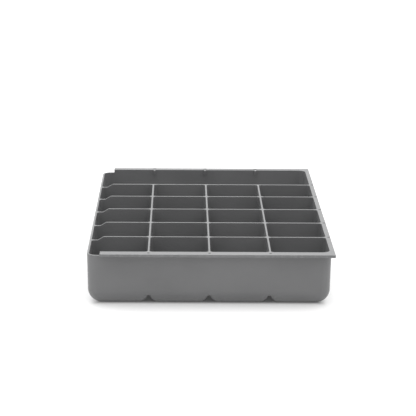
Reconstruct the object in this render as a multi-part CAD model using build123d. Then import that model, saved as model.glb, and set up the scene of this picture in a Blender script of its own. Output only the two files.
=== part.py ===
from build123d import *
from math import radians, sqrt, tan
import os

# Compartment tray: four columns by five rows of scooped cells and one full-width trough behind them.
# The tray is one plastic moulding. It is drawn whole, with one continuous skin, and then divided
# along the middle of its dividers and walls into named members that meet face to face.
# Units are millimetres. +X is right, +Y is back, +Z is up, and Z = 0 is the surface it stands on.

# ---- driving dimensions -------------------------------------------------------------------------
columns = 4
rows = 5
pitch_x = 72.5                # middle of one long divider to the next
pitch_y = 69.0                # middle of one cross divider to the next
trough_depth = 90.5           # middle of the rearmost cross divider to the middle of the back wall
height = 66.5
wall = 2.5                    # outer wall, measured level
divider = 2.3                 # divider, at its top
skin = wall                   # floor of a cell, and the scoops that turn up from it
scoop_radius = 16.0           # inside, where a cell's floor turns up into its sides
cell_corner = 4.0             # upright inside corners of a cell
tray_corner = 12.0            # upright outside corners of the tray
groove_top = 12.4             # height of the grooves between the scoops, seen from below
wall_draft = 1.0              # degrees
divider_draft = 0.5           # degrees
flange_thickness = 3.6
front_overhang = 10.5
back_overhang = 8.5
right_overhang = 3.4
low_drop = 4.4                # how far the left side stands below the rim
low_reach = 16.0              # from the left face to where the flanges begin
ramp_foot = 10.7              # from the left face to where a cross divider starts to climb
ramp_head = 17.8              # from the left face to where it is at full height
flange_edge = 0.8             # rounding of the flange's edges
rim_edge = 0.5                # rounding of the cells' upper edges and of the low side's outer edge
stub_length = 5.0             # stubs on the trough's back wall, in line with the long dividers
stub_drop = 6.0               # how far they reach down from the rim
sink_radius = 1.9             # shallow dimples that the moulding leaves in the flange
sink_depth = 0.3
side_sink_radius = 1.1        # those on the narrow right flange
front_sink_reach = 3.5        # from the front wall's face to the middle of a dimple

# ---- derived places -----------------------------------------------------------------------------
wall_lean = tan(radians(wall_draft))
divider_lean = tan(radians(divider_draft))
shoulder = skin + scoop_radius             # height where the scoops end and the upright sides begin
body_width = columns * pitch_x + wall
body_depth = rows * pitch_y + trough_depth + wall
low_lean = low_drop * wall_lean            # the low left side's top is this far in from the left face
total_width = body_width - low_lean + right_overhang
total_depth = front_overhang + body_depth + back_overhang
left_face = -total_width / 2 - low_lean
right_face = left_face + body_width
front_face = -total_depth / 2 + front_overhang
back_face = front_face + body_depth
column_lines = [left_face + wall / 2 + i * pitch_x for i in range(columns + 1)]
row_lines = [front_face + wall / 2 + k * pitch_y for k in range(rows + 1)]
back_line = back_face - wall / 2
middle_x = (left_face + right_face) / 2
middle_y = (front_face + back_face) / 2
above = 4.0                                # how far cutting shapes stand above the rim
margin = 1.0                               # how far dividing boxes reach past what they cut
near = 0.01                                # lengths closer than this count as equal
everywhere = (-total_depth, total_depth)   # a level span that takes in the whole tray
low_top = height - low_drop
crossing = divider / 2 + cell_corner + 0.5  # a crossing keeps this much of the divider that it meets
wall_zone = wall + 1.0                     # a side member keeps this much in from the outer face
corner_zone = shoulder + 0.5               # a corner member's side, from the outer faces


def block(x1, x2, y1, y2, z1, z2):
    """A box between two corners."""
    return Pos((x1 + x2) / 2, (y1 + y2) / 2, (z1 + z2) / 2) * Box(x2 - x1, y2 - y1, z2 - z1)


def across_x(outline, y1, y2):
    """Extrude an outline of (x, z) points from y1 to y2."""
    with BuildSketch(Plane(origin=(0, y1, 0), x_dir=(1, 0, 0), z_dir=(0, -1, 0))) as section:
        with BuildLine():
            Polyline(*outline, close=True)
        make_face()
    return extrude(section.sketch, amount=-(y2 - y1))


def across_y(outline, x1, x2):
    """Extrude an outline of (y, z) points from x1 to x2."""
    with BuildSketch(Plane(origin=(x1, 0, 0), x_dir=(0, 1, 0), z_dir=(1, 0, 0))) as section:
        with BuildLine():
            Polyline(*outline, close=True)
        make_face()
    return extrude(section.sketch, amount=x2 - x1)


def tapered(low, high, lean_low, lean_high, bottom, top):
    """Outline between two sides given at rim height, each leaning in as it goes down."""
    fall = height - bottom
    rise = top - height
    return [
        (low - rise * lean_low, top),
        (low + fall * lean_low, bottom),
        (high - fall * lean_high, bottom),
        (high + rise * lean_high, top),
    ]


def upright_edge(solid, x, y):
    """The solid's upright edge that is nearest to x, y."""
    tall = [e for e in solid.edges() if abs((e @ 0).Z - (e @ 1).Z) > height / 2]
    return min(tall, key=lambda e: (e.center().X - x) ** 2 + (e.center().Y - y) ** 2)


def plain_block():
    """A block with the tray's leaning sides and sharp edges."""
    lean = wall_lean
    body = across_x(tapered(left_face, right_face, lean, lean, 0, height), front_face, back_face)
    return body & across_y(tapered(front_face, back_face, lean, lean, 0, height), left_face, right_face)


def round_bottom(solid, radius):
    """The solid with the edges round its bottom face rounded."""
    return fillet(solid.faces().sort_by(Axis.Z)[0].edges(), radius)


def swap_sides(solid):
    """The solid mirrored from the tray's left half to its right half."""
    return mirror(solid, about=Plane(origin=(middle_x, 0, 0), z_dir=(1, 0, 0)))


def swap_ends(solid):
    """The solid mirrored from the tray's front to its back."""
    return mirror(solid, about=Plane(origin=(0, middle_y, 0), z_dir=(0, 1, 0)))


def compartment(first_column, last_column, front_line, rear_line, grown):
    """The space between four lines of the grid, grown on all sides. Outer sides lean as the walls do.

    Its corners on the right outer wall stay square, because the left half is mirrored over them.
    """
    lines_x = (column_lines[first_column], column_lines[last_column])
    lines_y = (front_line, rear_line)
    outer_x = (first_column == 0, last_column == columns)
    outer_y = (front_line == row_lines[0], rear_line == back_line)
    inset_x = [(wall if outer else divider) / 2 - grown for outer in outer_x]
    inset_y = [(wall if outer else divider) / 2 - grown for outer in outer_y]
    low_x, high_x = lines_x[0] + inset_x[0], lines_x[1] - inset_x[1]
    low_y, high_y = lines_y[0] + inset_y[0], lines_y[1] - inset_y[1]
    lean_x = [wall_lean if outer else divider_lean for outer in outer_x]
    lean_y = [wall_lean if outer else divider_lean for outer in outer_y]
    bottom = skin - grown
    top = height + above
    space = across_x(tapered(low_x, high_x, *lean_x, bottom, top), low_y - margin, high_y + margin)
    space &= across_y(tapered(low_y, high_y, *lean_y, bottom, top), low_x - margin, high_x + margin)
    space = round_bottom(space, scoop_radius + grown)
    for x, at_side in zip((low_x, high_x), outer_x):
        for y, at_end in zip((low_y, high_y), outer_y):
            inside = tray_corner - wall if at_side and at_end else cell_corner
            if not (at_side and x > middle_x):
                space = fillet(upright_edge(space, x, y), inside + grown)
    return space


def compartments(grown):
    """Every compartment: the cells, and the trough behind them. The right half mirrors the left."""
    lines = [(row_lines[k], row_lines[k + 1]) for k in range(rows)]
    cells = [compartment(i, i + 1, *line, grown) for line in lines for i in range(columns // 2)]
    trough = compartment(0, columns, row_lines[0], 2 * middle_y - row_lines[rows], grown)
    half = swap_ends(trough & block(left_face - margin, middle_x, *everywhere, *everywhere))
    return cells + [swap_sides(cell) for cell in cells] + [half + swap_sides(half)]


def outside():
    """The tray's outside: one block down to the grooves, and below it a round bowl to each compartment.

    The four round corners run the whole height, so they are made on their own.
    """
    rounded = round_bottom(plain_block(), shoulder)
    zone = block(
        left_face - margin,
        left_face + corner_zone,
        front_face - margin,
        front_face + corner_zone,
        -margin,
        height,
    )
    corner = fillet(upright_edge(rounded, left_face, front_face), tray_corner) & zone
    pair = [corner, swap_ends(corner)]
    corners = pair + [swap_sides(solid) for solid in pair]
    gaps = [zone, swap_ends(zone), swap_sides(zone), swap_sides(swap_ends(zone))]
    over = rounded & block(*everywhere, *everywhere, groove_top, height)
    under = block(*everywhere, *everywhere, -margin, groove_top)
    bowls = [bowl - gaps & under for bowl in compartments(skin)]
    return over - gaps + bowls + corners


def flange_slab():
    """The flat lip on the front, right and back, as one slab with rounded edges."""
    slab = block(
        left_face + low_reach,
        right_face + right_overhang,
        front_face - front_overhang,
        back_face + back_overhang,
        height - flange_thickness,
        height,
    )
    return fillet(slab.edges(), flange_edge)


def low_side_cuts():
    """What is taken off the left side: steps in the end walls, and ramps on the cross dividers."""
    top = height + above
    clear = tray_corner / 2
    reach = left_face + low_reach
    outside = left_face - margin
    ramp = [
        (outside, low_top),
        (left_face + ramp_foot, low_top),
        (left_face + ramp_head, height),
        (left_face + ramp_head, top),
        (outside, top),
    ]
    return [
        block(outside, reach, front_face - margin, front_face + clear, low_top, top),
        block(outside, reach, back_face - clear, back_face + margin, low_top, top),
        across_x(ramp, front_face + clear, back_face - clear),
    ]


def trough_stubs():
    """Small stubs at the top of the trough's back wall, in line with the long dividers."""
    front = back_face - wall - stub_length
    half = divider / 2
    bottom = height - stub_drop
    return [block(x - half, x + half, front, back_line, bottom, height) for x in column_lines[1:-1]]


def sink_marks():
    """Balls that leave the shallow dimples in the flange, one at each divider's end."""
    ball = (sink_radius**2 + sink_depth**2) / (2 * sink_depth)
    middle = right_face + right_overhang / 2 - flange_edge / 3
    places = [(middle, y, side_sink_radius) for y in row_lines[1:]]
    places += [(x, front_face - front_sink_reach, sink_radius) for x in column_lines[1:-1]]
    places += [(x, back_face + back_overhang / 2, sink_radius) for x in column_lines[1:]]
    balls = []
    for x, y, spread in places:
        depth = ball - sqrt(ball**2 - spread**2)
        balls.append(Pos(x, y, height + ball - depth) * Sphere(ball))
    return balls


def rim_edges(body):
    """The sharp upper edges of the cells, the trough and its stubs, on the level of the rim."""
    edges = []
    for edge in body.edges():
        box = edge.bounding_box()
        level = box.min.Z > height - near
        inside_x = box.min.X > left_face + wall - near and box.max.X < right_face - wall + near
        inside_y = box.min.Y > front_face + wall - near and box.max.Y < back_face - wall + near
        ramp_crest = abs(edge.center().X - left_face - ramp_head) < near
        if level and inside_x and inside_y and not ramp_crest:
            edges.append(edge)
    return edges


def low_side_edges(body):
    """The outer edge along the top of the low left side, and the round corners at its ends."""
    edges = []
    for edge in body.edges():
        box = edge.bounding_box()
        level = abs(box.min.Z - low_top) < near and abs(box.max.Z - low_top) < near
        left = box.max.X < left_face + ramp_foot + near
        whole_side = edge.length > rows * pitch_y
        corner = edge.geom_type != GeomType.LINE
        if level and left and (whole_side or corner):
            edges.append(edge)
    return edges


def moulding():
    """The whole tray as the mould leaves it."""
    body = outside() + flange_slab() - compartments(0) + trough_stubs()
    body = body - low_side_cuts()
    body = fillet(rim_edges(body), rim_edge)
    body = fillet(low_side_edges(body), rim_edge)
    return body - sink_marks()


def beyond_walls():
    """The space outside the walls, at the level of the lips."""
    walls = fillet(upright_edge(plain_block(), left_face, front_face), tray_corner)
    walls &= swap_ends(walls)
    walls &= swap_sides(walls)
    return block(*everywhere, *everywhere, height - flange_thickness, height + margin) - walls


def flange_members(lip):
    """The three lips outside the walls. The front and back ones take the square corners."""
    bottom = height - flange_thickness - margin
    top = height + margin
    ends = (left_face, right_face + right_overhang + margin)
    front_end = front_face + corner_zone
    back_end = back_face - corner_zone
    return {
        "front_flange": lip & block(*ends, front_face - front_overhang - margin, front_end, bottom, top),
        "right_flange": lip & block(*ends, front_end, back_end, bottom, top),
        "back_flange": lip & block(*ends, back_end, back_face + back_overhang + margin, bottom, top),
    }


def wall_members(shell):
    """The four upright walls and the four round corners between them, above the scoops."""
    x_cuts = (left_face - margin, left_face + corner_zone, right_face - corner_zone, right_face + margin)
    y_cuts = (front_face - margin, front_face + corner_zone, back_face - corner_zone, back_face + margin)
    levels = (shoulder, height + margin)
    members = {
        "left_wall": block(left_face - margin, left_face + wall_zone, *y_cuts[1:3], *levels),
        "right_wall": block(right_face - wall_zone, right_face + margin, *y_cuts[1:3], *levels),
        "front_wall": block(*x_cuts[1:3], front_face - margin, front_face + wall_zone, *levels),
        "back_wall": block(*x_cuts[1:3], back_face - wall_zone, back_face + margin, *levels),
        "front_left_corner": block(*x_cuts[:2], *y_cuts[:2], *levels),
        "front_right_corner": block(*x_cuts[2:], *y_cuts[:2], *levels),
        "back_left_corner": block(*x_cuts[:2], *y_cuts[2:], *levels),
        "back_right_corner": block(*x_cuts[2:], *y_cuts[2:], *levels),
    }
    return {name: shell & zone for name, zone in members.items()}


def divider_members(shell):
    """Cross dividers run the full width. The long ones are the stretches between them."""
    levels = (shoulder, height + margin)
    inside = (left_face + wall_zone, right_face - wall_zone)
    members = {}
    for k in range(1, rows + 1):
        zone = block(*inside, row_lines[k] - crossing, row_lines[k] + crossing, *levels)
        members[f"cross_divider_{k}"] = shell & zone
    for k in range(rows):
        near = row_lines[k] + crossing if k else front_face + wall_zone
        for i in range(1, columns):
            x = column_lines[i]
            zone = block(x - crossing, x + crossing, near, row_lines[k + 1] - crossing, *levels)
            members[f"long_divider_{i}_row_{k + 1}"] = shell & zone
    stub_front = back_face - wall - stub_length - margin
    for i in range(1, columns):
        x = column_lines[i]
        zone = block(x - crossing, x + crossing, stub_front, back_face - wall_zone, *levels)
        members[f"trough_stub_{i}"] = shell & zone
    return members


def scoop_members(shell):
    """The scooped floors, one to a cell, and the trough's. They meet above the grooves."""
    x_cuts = [left_face - margin] + column_lines[1:-1] + [right_face + margin]
    y_cuts = [front_face - margin] + row_lines[1:] + [back_face + margin]
    levels = (-margin, shoulder)
    members = {}
    for k in range(rows):
        for i in range(columns):
            zone = block(x_cuts[i], x_cuts[i + 1], y_cuts[k], y_cuts[k + 1], *levels)
            members[f"cell_floor_{k + 1}_{i + 1}"] = shell & zone
    members["trough_floor"] = shell & block(x_cuts[0], x_cuts[-1], *y_cuts[-2:], *levels)
    return members


def main():
    """Draw the tray, divide it and write one file to each member."""
    os.makedirs("parts", exist_ok=True)
    # The origin is under the middle of the whole tray, flanges included.
    body = moulding()
    shell = body - beyond_walls()
    members = {
        **flange_members(body & beyond_walls()),
        **wall_members(shell),
        **divider_members(shell),
        **scoop_members(shell),
    }
    for name, member in members.items():
        export_step(member, f"parts/{name}.step")
    in_parts = sum(member.volume for member in members.values())
    print(len(members), "members, whole", round(body.volume), "in parts", round(in_parts))


main()
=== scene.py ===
import math

import bpy
from mathutils import Matrix, Vector


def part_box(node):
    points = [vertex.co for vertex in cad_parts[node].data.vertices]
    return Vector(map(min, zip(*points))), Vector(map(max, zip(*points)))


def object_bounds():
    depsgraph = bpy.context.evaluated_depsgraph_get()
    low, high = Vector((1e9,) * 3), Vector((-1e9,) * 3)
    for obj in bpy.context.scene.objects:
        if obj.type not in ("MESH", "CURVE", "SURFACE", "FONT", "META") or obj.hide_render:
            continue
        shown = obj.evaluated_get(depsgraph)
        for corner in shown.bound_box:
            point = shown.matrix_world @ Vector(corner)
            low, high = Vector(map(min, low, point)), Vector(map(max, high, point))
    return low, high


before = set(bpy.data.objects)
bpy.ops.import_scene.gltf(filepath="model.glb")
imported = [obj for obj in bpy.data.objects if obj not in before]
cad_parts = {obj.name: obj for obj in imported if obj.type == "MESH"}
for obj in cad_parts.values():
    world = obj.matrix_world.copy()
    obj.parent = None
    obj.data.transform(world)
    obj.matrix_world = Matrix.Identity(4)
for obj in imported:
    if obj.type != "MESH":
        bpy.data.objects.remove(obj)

# A one-piece moulded plastic tray. Every visible surface is a CAD node, so this script gives the
# moulding its plastic, sets it on a pale floor in soft light and places the camera.
# Units are metres, in the CAD frame: +X right, +Y back, +Z up, the floor at Z = 0.

CAD_LOW, CAD_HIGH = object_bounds()
COLUMNS = 4
ROWS = 5

# ---- camera -------------------------------------------------------------------------------------
CAMERA_PLACE = Vector((-0.0355, -2.1402, 0.6099))
CAMERA_YAW = math.radians(0.939)        # turned to the right of straight ahead
CAMERA_PITCH = math.radians(14.272)     # looking down
CAMERA_ROLL = math.radians(0.494)
CAMERA_LENS = 145.48                    # mm, on a sensor 36 mm wide
CAMERA_NEAR = 0.05                      # nothing nearer than this is drawn
CAMERA_FAR = 60.0                       # and nothing farther

# ---- light --------------------------------------------------------------------------------------
SKY_LOW = 0.30                          # brightness of the surround at its darkest, low in front
SKY_HIGH = 1.85                         # and at its brightest, overhead and a little behind
SKY_BRIGHT_SIDE = (0.0, 0.2, 0.98)
TOP_LIGHT_POWER = 60.0
TOP_LIGHT_SIZE = 2.5
TOP_LIGHT_PLACE = Vector((0.0, 0.6, 2.2))

# ---- floor --------------------------------------------------------------------------------------
FLOOR_COLOUR = (0.50, 0.50, 0.50, 1.0)
FLOOR_GLOW = 0.36                       # painted light: the floor glows, so its shadow stays light
GLOW_STARTS = (-0.018, -0.005)          # from the walls: the glow fades out inside them, a painted shade where the tray stands
GLOW_UNDER = 0.05                       # painted light: the little glow left beneath the tray, standing in for what reaches the grooves from around it
FLOOR_SIZE = 30.0

# ---- plastic ------------------------------------------------------------------------------------
GREY_DARK = (0.128, 0.129, 0.131, 1.0)
GREY_LIGHT = (0.146, 0.147, 0.149, 1.0)
GREY_WORN = (0.165, 0.166, 0.168, 1.0)
PLASTIC_IOR = 1.5
CLOUD_SCALE = 14.0                      # features to the metre: soft clouds in the tone
WAVE_SCALE = 30.0                       # slow waves in the surface
SCUFF_SCALE = 260.0                     # scuffs from handling
GRAIN_SCALE = 1400.0                    # satin grain left by the mould
ROUGH_RANGE = (0.36, 0.44)              # roughness, following the clouds
ROUGH_SCUFFED = 0.06                    # added where the surface is scuffed
ROUGH_WORN = 0.12                       # and along the worn edges
WAVE_HEIGHT = 0.0006
WAVE_STRENGTH = 0.25
GRAIN_HEIGHT = 0.00004
GRAIN_STRENGTH = 0.5
WORN_REACH = 0.0013                     # how far the wear comes in from the flange's outer edges

# ---- sink marks in the flange, darkened with painted shade ---------------------------------------
# painted shade: the sink marks are darkened towards this grey, with less shine
GREY_SINK_SHADE = (0.045, 0.045, 0.046, 1.0)
SHINE_PLASTIC = 0.5                       # specular level of the plastic
SHINE_SINK_SHADE = 0.1
SINK_REACH_FRONT = 0.0035               # from the wall's face to the middle of a sink mark
SINK_REACH_BACK = 0.00425
SINK_REACH_RIGHT = 0.0014
SINK_FRONT = 0.0020                     # radius of the painted shade in the front flange's marks
SINK_BACK = 0.0035                      # in the back flange's
SINK_RIGHT = 0.0024                     # and in the right flange's
SINK_SOLID = 0.5                        # the painted shade is full out to this part of its radius
SINK_FADED = 1.1                        # and gone at this

# ---- a Mix node's colour sockets, whose names it also gives to its number and vector sockets ------
MIX_FIRST = 6
MIX_SECOND = 7
MIX_RESULT = 2


def place_camera():
    """A long lens a little to the left of the tray's middle, looking slightly down at it."""
    ahead = Vector((
        math.sin(CAMERA_YAW) * math.cos(CAMERA_PITCH),
        math.cos(CAMERA_YAW) * math.cos(CAMERA_PITCH),
        -math.sin(CAMERA_PITCH),
    ))
    level = Vector((math.cos(CAMERA_YAW), -math.sin(CAMERA_YAW), 0.0))
    upward = level.cross(ahead)
    right = math.cos(CAMERA_ROLL) * level + math.sin(CAMERA_ROLL) * upward
    up = math.cos(CAMERA_ROLL) * upward - math.sin(CAMERA_ROLL) * level
    data = bpy.data.cameras.new("camera")
    data.sensor_width = 36.0
    data.lens = CAMERA_LENS
    data.clip_start = CAMERA_NEAR
    data.clip_end = CAMERA_FAR
    camera = bpy.data.objects.new("camera", data)
    turn = Matrix((right, up, -ahead)).transposed().to_4x4()
    camera.matrix_world = Matrix.Translation(CAMERA_PLACE) @ turn
    bpy.context.scene.collection.objects.link(camera)
    bpy.context.scene.camera = camera


def surround_with_white():
    """A white surround that brightens evenly from low in front to overhead."""
    bpy.context.scene.view_settings.view_transform = "Standard"
    world = bpy.data.worlds.new("surround")
    world.use_nodes = True
    tree = world.node_tree
    sky = tree.nodes["Background"]
    sky.inputs["Color"].default_value = (1.0, 1.0, 1.0, 1.0)
    direction = tree.nodes.new("ShaderNodeTexCoord")
    facing = tree.nodes.new("ShaderNodeVectorMath")
    facing.operation = "DOT_PRODUCT"
    facing.inputs[1].default_value = SKY_BRIGHT_SIDE
    rise = tree.nodes.new("ShaderNodeMapRange")
    rise.inputs["From Min"].default_value = -SKY_BRIGHT_SIDE[1]
    rise.inputs["From Max"].default_value = SKY_BRIGHT_SIDE[2]
    rise.inputs["To Min"].default_value = SKY_LOW
    rise.inputs["To Max"].default_value = SKY_HIGH
    tree.links.new(direction.outputs["Generated"], facing.inputs[0])
    tree.links.new(facing.outputs["Value"], rise.inputs["Value"])
    tree.links.new(rise.outputs["Result"], sky.inputs["Strength"])
    bpy.context.scene.world = world


def light_from_above():
    """One very large soft light overhead, a little behind the tray."""
    data = bpy.data.lights.new("top_light", "AREA")
    data.shape = "SQUARE"
    data.size = TOP_LIGHT_SIZE
    data.energy = TOP_LIGHT_POWER
    light = bpy.data.objects.new("top_light", data)
    light.location = TOP_LIGHT_PLACE
    bpy.context.scene.collection.objects.link(light)


class Shader:
    """A material's node tree, with short calls for adding and joining nodes."""

    def __init__(self, name):
        self.material = bpy.data.materials.new(name)
        self.material.use_nodes = True
        self.tree = self.material.node_tree
        self.surface = self.tree.nodes["Principled BSDF"]
        self.place = self.tree.nodes.new("ShaderNodeTexCoord").outputs["Object"]

    def join(self, source, target):
        self.tree.links.new(source, target)

    def join_surface(self, source, name):
        """Let a value or a colour drive one of the surface's own inputs."""
        self.join(source, self.surface.inputs[name])

    def noise(self, scale, detail=2.0, roughness=0.5):
        """Noise from 0 to 1 with this many features to the metre."""
        node = self.tree.nodes.new("ShaderNodeTexNoise")
        node.inputs["Scale"].default_value = scale
        node.inputs["Detail"].default_value = detail
        node.inputs["Roughness"].default_value = roughness
        self.join(self.place, node.inputs["Vector"])
        return node.outputs["Fac"]

    def spread(self, value, from_low, from_high, to_low, to_high):
        """The value carried over smoothly from one range to another."""
        node = self.tree.nodes.new("ShaderNodeMapRange")
        node.interpolation_type = "SMOOTHSTEP"
        node.inputs["From Min"].default_value = from_low
        node.inputs["From Max"].default_value = from_high
        node.inputs["To Min"].default_value = to_low
        node.inputs["To Max"].default_value = to_high
        self.join(value, node.inputs["Value"])
        return node.outputs["Result"]

    def axes(self):
        """The place's X, Y and Z."""
        node = self.tree.nodes.new("ShaderNodeSeparateXYZ")
        self.join(self.place, node.inputs["Vector"])
        return node.outputs[:3]

    def distance(self, middle):
        """How far the place is from a fixed point."""
        node = self.tree.nodes.new("ShaderNodeVectorMath")
        node.operation = "DISTANCE"
        node.inputs[1].default_value = middle
        self.join(self.place, node.inputs[0])
        return node.outputs["Value"]

    def math(self, operation, first, second):
        """Arithmetic on two values, each of them a socket or a plain number."""
        node = self.tree.nodes.new("ShaderNodeMath")
        node.operation = operation
        for socket, value in zip(node.inputs, (first, second)):
            if isinstance(value, (int, float)):
                socket.default_value = value
            else:
                self.join(value, socket)
        return node.outputs["Value"]

    def mix(self, amount, first, second):
        """Two colours, each of them a socket or four plain numbers, mixed by an amount from 0 to 1."""
        node = self.tree.nodes.new("ShaderNodeMix")
        node.data_type = "RGBA"
        self.join(amount, node.inputs["Factor"])
        for socket, value in ((node.inputs[MIX_FIRST], first), (node.inputs[MIX_SECOND], second)):
            if isinstance(value, tuple):
                socket.default_value = value
            else:
                self.join(value, socket)
        return node.outputs[MIX_RESULT]

    def bump(self, height, distance, strength, under=None):
        """A bumped normal, laid over another one where it is given."""
        node = self.tree.nodes.new("ShaderNodeBump")
        node.inputs["Distance"].default_value = distance
        node.inputs["Strength"].default_value = strength
        self.join(height, node.inputs["Height"])
        if under is not None:
            self.join(under, node.inputs["Normal"])
        return node.outputs["Normal"]


def worn_edges(made, scuffs):
    """Broken wear along the outer edges of the front, right and back flanges."""
    x, y, _ = made.axes()
    from_front = made.math("SUBTRACT", y, CAD_LOW.y)
    from_right = made.math("SUBTRACT", CAD_HIGH.x, x)
    from_back = made.math("SUBTRACT", CAD_HIGH.y, y)
    nearest = made.math("MINIMUM", made.math("MINIMUM", from_front, from_right), from_back)
    edge = made.spread(nearest, 0.0, WORN_REACH, 1.0, 0.0)
    return made.math("MULTIPLY", edge, made.spread(scuffs, 0.45, 0.62, 0.0, 1.0))


def sink_mark_shade(made):
    """How deep a place lies in the painted shade of a sink mark: the flange has one at each divider's
    end.
    """
    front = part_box("front_wall")[0]
    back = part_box("back_wall")[1]
    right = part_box("right_wall")[1]
    marks = []
    for row in range(1, ROWS + 1):
        low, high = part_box(f"cross_divider_{row}")
        marks.append((right.x + SINK_REACH_RIGHT, (low.y + high.y) / 2, SINK_RIGHT))
    for column in range(1, COLUMNS):
        low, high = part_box(f"long_divider_{column}_row_2")
        middle = (low.x + high.x) / 2
        marks.append((middle, front.y - SINK_REACH_FRONT, SINK_FRONT))
        marks.append((middle, back.y + SINK_REACH_BACK, SINK_BACK))
    deepest = 0.0
    for x, y, radius in marks:
        far = made.distance((x, y, CAD_HIGH.z))
        sink_shade = made.spread(far, radius * SINK_SOLID, radius * SINK_FADED, 1.0, 0.0)
        deepest = made.math("MAXIMUM", sink_shade, deepest)
    return deepest


def plastic():
    """Grey moulded plastic: faint clouds, a fine satin grain, worn flange edges and sink marks darkened
    with painted shade.
    """
    made = Shader("moulded_grey_plastic")
    clouds = made.noise(CLOUD_SCALE, detail=3.0)
    waves = made.noise(WAVE_SCALE, detail=1.0)
    scuffs = made.noise(SCUFF_SCALE, detail=4.0, roughness=0.65)
    grain = made.noise(GRAIN_SCALE, roughness=0.6)
    worn = worn_edges(made, scuffs)
    sink_shade = sink_mark_shade(made)

    tone = made.mix(made.spread(clouds, 0.3, 0.7, 0.0, 1.0), GREY_DARK, GREY_LIGHT)
    tone = made.mix(worn, tone, GREY_WORN)
    # painted shade: each sink mark is darkened towards a near-black grey
    tone = made.mix(sink_shade, tone, GREY_SINK_SHADE)
    made.join_surface(tone, "Base Color")

    rough = made.spread(clouds, 0.25, 0.75, *ROUGH_RANGE)
    rough = made.math("ADD", rough, made.spread(scuffs, 0.4, 0.7, 0.0, ROUGH_SCUFFED))
    rough = made.math("ADD", rough, made.math("MULTIPLY", worn, ROUGH_WORN))
    made.join_surface(rough, "Roughness")

    # less shine inside the painted shade of the sink marks
    made.join_surface(made.spread(sink_shade, 0.0, 1.0, SHINE_PLASTIC, SHINE_SINK_SHADE), "Specular IOR Level")
    made.surface.inputs["IOR"].default_value = PLASTIC_IOR

    normal = made.bump(waves, WAVE_HEIGHT, WAVE_STRENGTH)
    normal = made.bump(grain, GRAIN_HEIGHT, GRAIN_STRENGTH, under=normal)
    made.join_surface(normal, "Normal")
    return made.material


def glow_around_the_tray(made):
    """The floor's painted glow: all of it outside the tray's walls, and very little beneath the tray, a
    painted shade where it stands.
    """
    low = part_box("front_left_corner")[0]
    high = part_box("back_right_corner")[1]
    x, y, _ = made.axes()
    beside = made.math("MAXIMUM", made.math("SUBTRACT", low.x, x), made.math("SUBTRACT", x, high.x))
    beyond = made.math("MAXIMUM", made.math("SUBTRACT", low.y, y), made.math("SUBTRACT", y, high.y))
    return made.spread(made.math("MAXIMUM", beside, beyond), *GLOW_STARTS, GLOW_UNDER, FLOOR_GLOW)


def pale_floor():
    """A plain matt floor that runs far past the picture, with a painted glow around the tray."""
    half = FLOOR_SIZE / 2
    corners = [(-half, -half, 0.0), (half, -half, 0.0), (half, half, 0.0), (-half, half, 0.0)]
    mesh = bpy.data.meshes.new("floor")
    mesh.from_pydata(corners, [], [(0, 1, 2, 3)])
    floor = bpy.data.objects.new("floor", mesh)
    bpy.context.scene.collection.objects.link(floor)
    made = Shader("pale_floor")
    made.surface.inputs["Base Color"].default_value = FLOOR_COLOUR
    made.surface.inputs["Roughness"].default_value = 0.9
    made.surface.inputs["Specular IOR Level"].default_value = 0.0
    made.surface.inputs["Emission Color"].default_value = (1.0, 1.0, 1.0, 1.0)
    made.join_surface(glow_around_the_tray(made), "Emission Strength")
    mesh.materials.append(made.material)


def dress_the_tray():
    """Give every CAD node the one plastic, because they are all one moulding."""
    material = plastic()
    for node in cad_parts.values():
        for slot in node.material_slots:
            slot.material = material


place_camera()
surround_with_white()
light_from_above()
pale_floor()
dress_the_tray()
